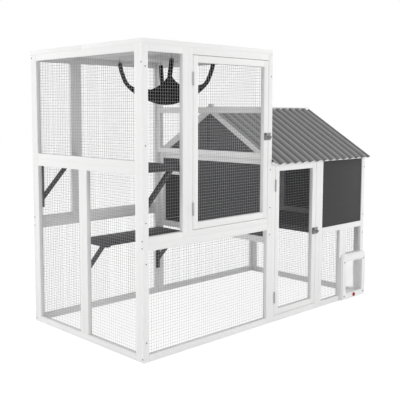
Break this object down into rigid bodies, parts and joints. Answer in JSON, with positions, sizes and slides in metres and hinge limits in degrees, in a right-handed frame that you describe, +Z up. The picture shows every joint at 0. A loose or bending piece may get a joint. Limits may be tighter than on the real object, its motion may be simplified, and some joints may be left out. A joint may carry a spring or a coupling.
{
  "type": "outdoor cat enclosure",
  "caption": "Tall mesh run with a door, shelves and a hammock, joined to a low run with a raised, roofed house, a narrow door and a cat flap.",
  "frame": {"origin": "centre of the whole enclosure at ground level", "axes": "+X along the front from the tall run to the house, +Y to the back, +Z up"},
  "size_m": [2.226, 1.2144, 1.8],
  "materials": {
    "white_timber": "white satin paint",
    "dark_timber": "dark grey matt paint",
    "galvanised_mesh": "galvanised",
    "roof_sheet": "matt",
    "flap_frame_plastic": "satin",
    "hinge_and_latch_metal": "zinc plated",
    "clear_flap": "clear gloss",
    "red_knob": "satin",
    "screws": "zinc plated",
    "hammock_cloth": "woven",
    "hammock_webbing": "woven"
  },
  "bodies": {
    "enclosure": {"left_lower_frame": "white_timber", "left_upper_frame": "white_timber", "front_lower_frame": "white_timber", "front_bay_frame": "white_timber", "tall_door_surround": "white_timber", "back_lower_frame": "white_timber", "back_bay_frame": "white_timber", "back_wide_frame": "white_timber", "side_upper_frame": "white_timber", "top_deck_boards": "white_timber", "porch_frame": "white_timber", "nest_front_frame": "white_timber", "house_back_frame": "white_timber", "end_lower_frame": "white_timber", "end_upper_frame": "white_timber", "house_side_frame": "white_timber", "gable_frames": "white_timber", "ridge_beam": "white_timber", "ridge_board": "white_timber", "eave_fillers": "white_timber", "nest_front_panel": "dark_timber", "house_back_panel": "dark_timber", "end_wall_panels": "dark_timber", "house_side_panels": "dark_timber", "gable_panels": "dark_timber", "floor_bearers": "dark_timber", "house_floor": "dark_timber", "upper_shelf": "dark_timber", "lower_shelf": "dark_timber", "shelf_brackets": "dark_timber", "left_mesh": "galvanised_mesh", "front_mesh": "galvanised_mesh", "back_mesh": "galvanised_mesh", "side_upper_mesh": "galvanised_mesh", "nest_front_mesh": "galvanised_mesh", "house_back_mesh": "galvanised_mesh", "end_lower_mesh": "galvanised_mesh", "roof_front_sheet": "roof_sheet", "roof_back_sheet": "roof_sheet", "flap_outer_frame": "flap_frame_plastic", "flap_inner_frame": "flap_frame_plastic", "hinge_frame_leaves": "hinge_and_latch_metal", "hinge_pins": "hinge_and_latch_metal", "latch_keepers": "hinge_and_latch_metal", "screws": "screws", "hammock_cloth": "hammock_cloth", "hammock_straps": "hammock_webbing", "hammock_hooks": "screws"},
    "tall_door": {"tall_door_frame": "white_timber", "tall_door_mesh": "galvanised_mesh", "tall_door_hinge_leaves": "hinge_and_latch_metal", "tall_door_latch": "hinge_and_latch_metal"},
    "tall_bolt": {"tall_door_bolt": "hinge_and_latch_metal"},
    "narrow_door": {"narrow_door_frame": "white_timber", "narrow_door_mesh": "galvanised_mesh", "narrow_door_hinge_leaves": "hinge_and_latch_metal", "narrow_door_latch": "hinge_and_latch_metal"},
    "narrow_bolt": {"narrow_door_bolt": "hinge_and_latch_metal"},
    "flap": {"cat_flap": "clear_flap"},
    "knob": {"lock_knob": "red_knob"}
  },
  "joints": [
    {"name": "tall_door_hinge", "type": "hinge", "parent": "enclosure", "child": "tall_door", "pos_m": [-0.7315, -0.5717, 1.2], "axis": [0, 0, -1], "range_deg": [0, 170]},
    {"name": "tall_bolt_slide", "type": "slide", "parent": "tall_door", "child": "tall_bolt", "axis": [1, 0, 0], "range_m": [0, 0.018]},
    {"name": "narrow_door_hinge", "type": "hinge", "parent": "enclosure", "child": "narrow_door", "pos_m": [0.0275, -0.5717, 0.55], "axis": [0, 0, -1], "range_deg": [0, 170]},
    {"name": "narrow_bolt_slide", "type": "slide", "parent": "narrow_door", "child": "narrow_bolt", "axis": [1, 0, 0], "range_m": [0, 0.018]},
    {"name": "flap_pivot", "type": "hinge", "parent": "enclosure", "child": "flap", "pos_m": [0.944, -0.557, 0.282], "axis": [1, 0, 0], "range_deg": [-80, 80]},
    {"name": "lock_knob_turn", "type": "hinge", "parent": "enclosure", "child": "knob", "pos_m": [0.944, -0.597, 0.0275], "axis": [0, -1, 0], "range_deg": [0, 270]}
  ]
}
